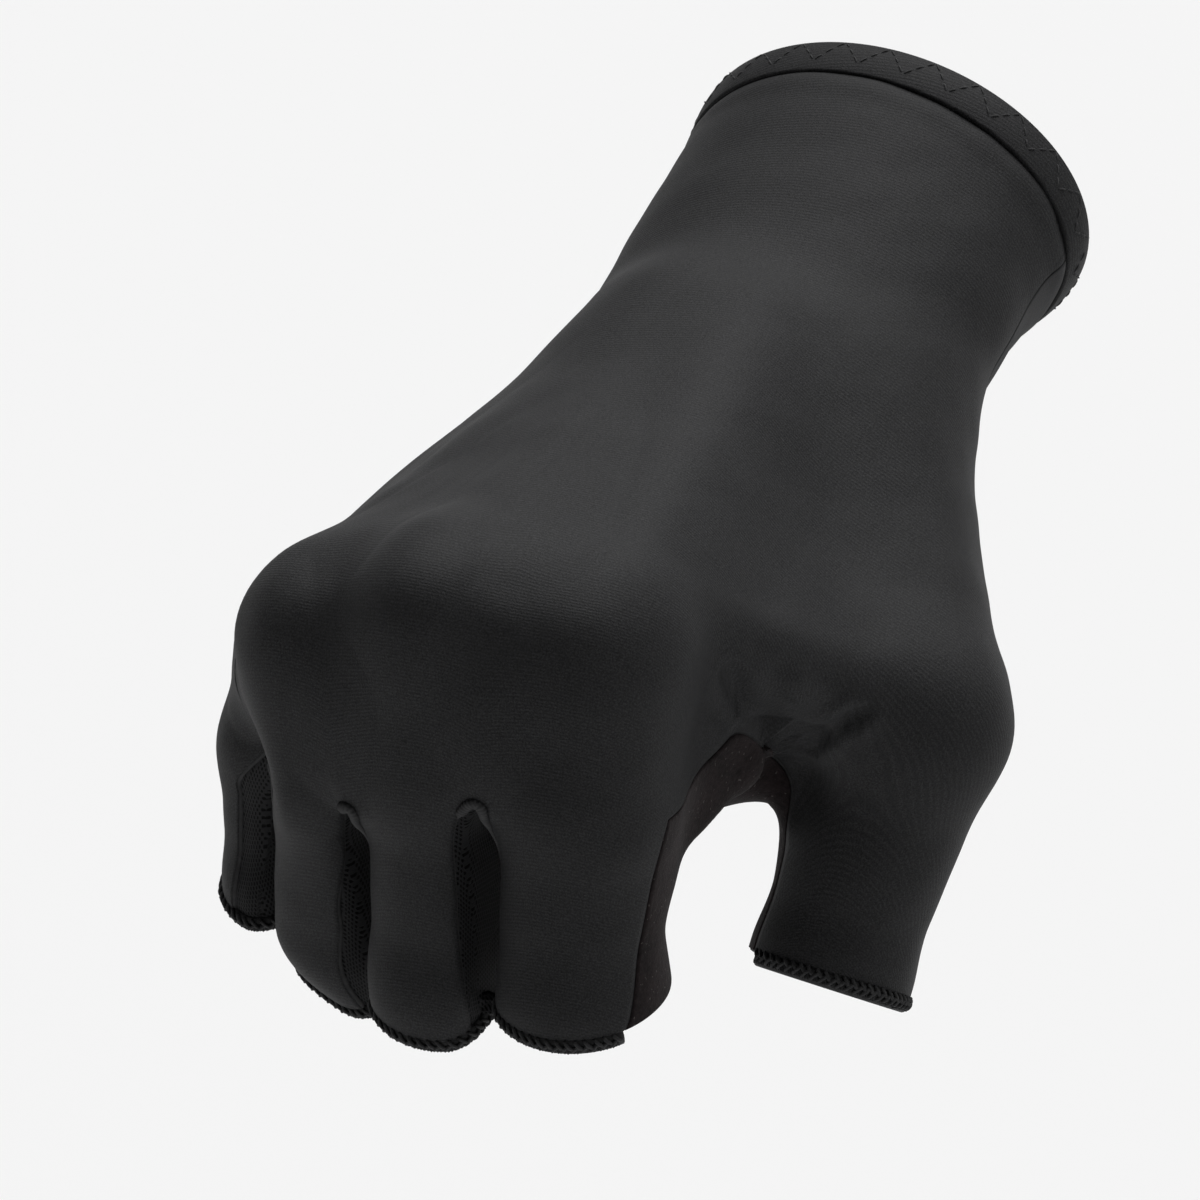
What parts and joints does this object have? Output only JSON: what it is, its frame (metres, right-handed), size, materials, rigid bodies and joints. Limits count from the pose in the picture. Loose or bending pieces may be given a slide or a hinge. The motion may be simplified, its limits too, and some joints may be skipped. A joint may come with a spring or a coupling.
{
  "type": "cycling glove",
  "caption": "Half-finger stretch glove in its worn form, with knit back, suede palm, net strips between the fingers, a hemmed cuff and bound finger edges.",
  "frame": {"origin": "centre of the wrist opening, in the plane of the cuff edge", "axes": "+Y out of the wrist opening, -Y towards the fingers, +Z out of the back of the hand, +X towards the thumb"},
  "size_m": [0.0946, 0.1566, 0.0852],
  "materials": {
    "knit": "black fine-ribbed stretch knit, slightly shiny",
    "suede": "matt black-brown suede-like cloth",
    "net": "black fine diagonal net",
    "thread": "black overlock thread"
  },
  "bodies": {
    "root": {"back_panel": "knit", "palm_panel": "suede", "index_middle_gusset": "net", "middle_ring_gusset": "net", "ring_little_gusset": "net", "cuff_band": "knit", "index_hem": "thread", "middle_hem": "thread", "ring_hem": "thread", "little_hem": "thread", "thumb_hem": "thread"}
  },
  "joints": []
}
